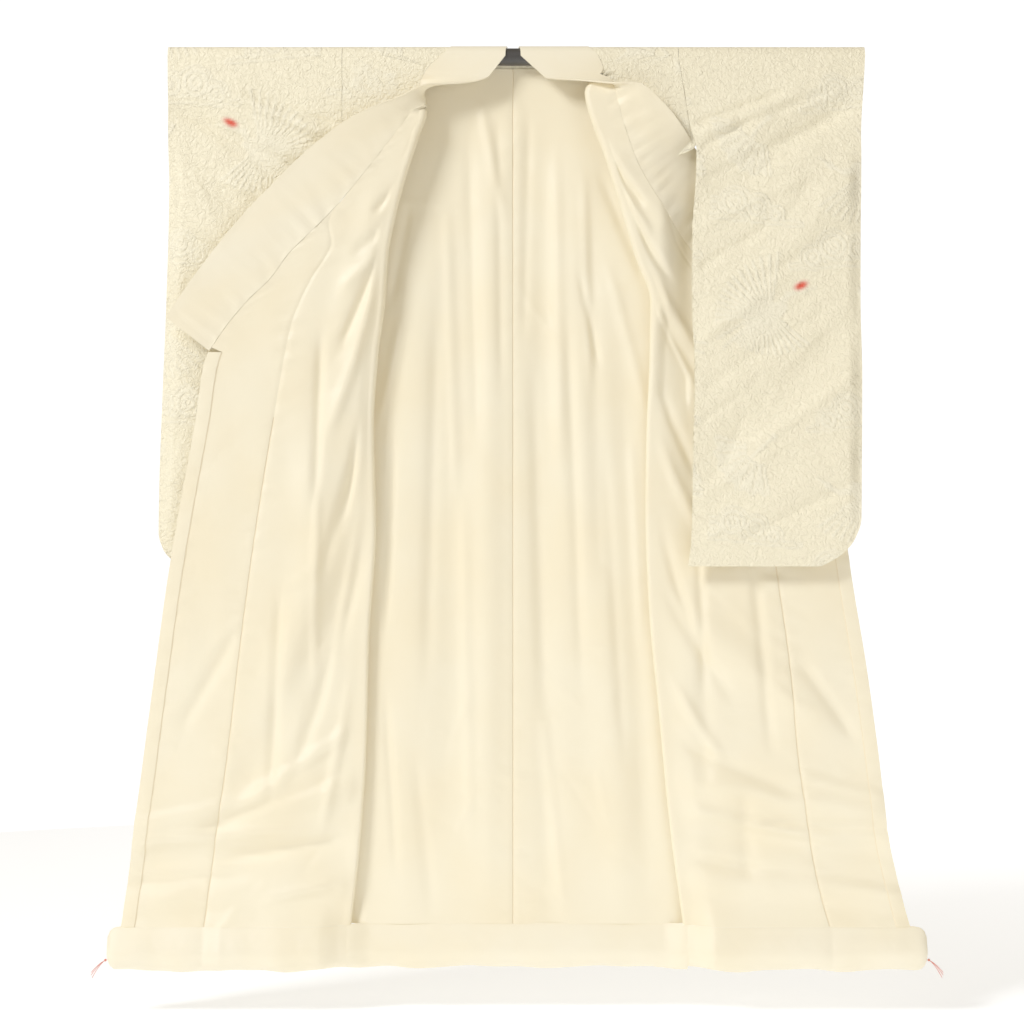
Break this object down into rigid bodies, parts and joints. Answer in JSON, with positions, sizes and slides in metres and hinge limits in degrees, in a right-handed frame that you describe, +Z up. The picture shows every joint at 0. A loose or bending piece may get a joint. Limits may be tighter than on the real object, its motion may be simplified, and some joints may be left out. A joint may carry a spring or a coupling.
{
  "type": "uchikake wedding kimono on a hanger rod",
  "caption": "Ivory padded uchikake kimono hung open on a round rod, fronts turned out over the sleeves to show the cream lining, thick padded hem roll.",
  "frame": {"origin": "middle of the hanger rod's axis, level with the shoulders", "axes": "+Z up, -Y towards the side that shows, +X along the rod towards the wearer's left sleeve"},
  "size_m": [1.6466, 0.0914, 1.8074],
  "materials": {
    "rod": "dark lacquered wood, satin",
    "outer_silk": "ivory figured silk with a raised weave, soft sheen",
    "lining": "cream silk lining, soft sheen",
    "collar_silk": "plain white silk, smooth",
    "hem_roll": "ivory silk over a padded roll",
    "thread": "salmon red silk thread"
  },
  "bodies": {
    "root": {"hanger_rod": "rod", "back_right": "outer_silk", "back_left": "outer_silk", "back_lining_right": "lining", "back_lining_left": "lining", "front_right": "outer_silk", "front_left": "outer_silk", "front_lining_right": "lining", "front_lining_left": "lining", "okumi_right": "outer_silk", "okumi_left": "outer_silk", "okumi_lining_right": "lining", "okumi_lining_left": "lining", "front_edge_right": "lining", "front_edge_left": "lining", "collar_right": "collar_silk", "collar_left": "collar_silk", "collar_back": "collar_silk", "sleeve_right_front": "outer_silk", "sleeve_right_back": "outer_silk", "sleeve_left_front": "outer_silk", "sleeve_left_back": "outer_silk", "hem_roll_right": "hem_roll", "hem_roll_back": "hem_roll", "hem_roll_left": "hem_roll", "corner_thread_right": "thread", "corner_thread_left": "thread"}
  },
  "joints": []
}
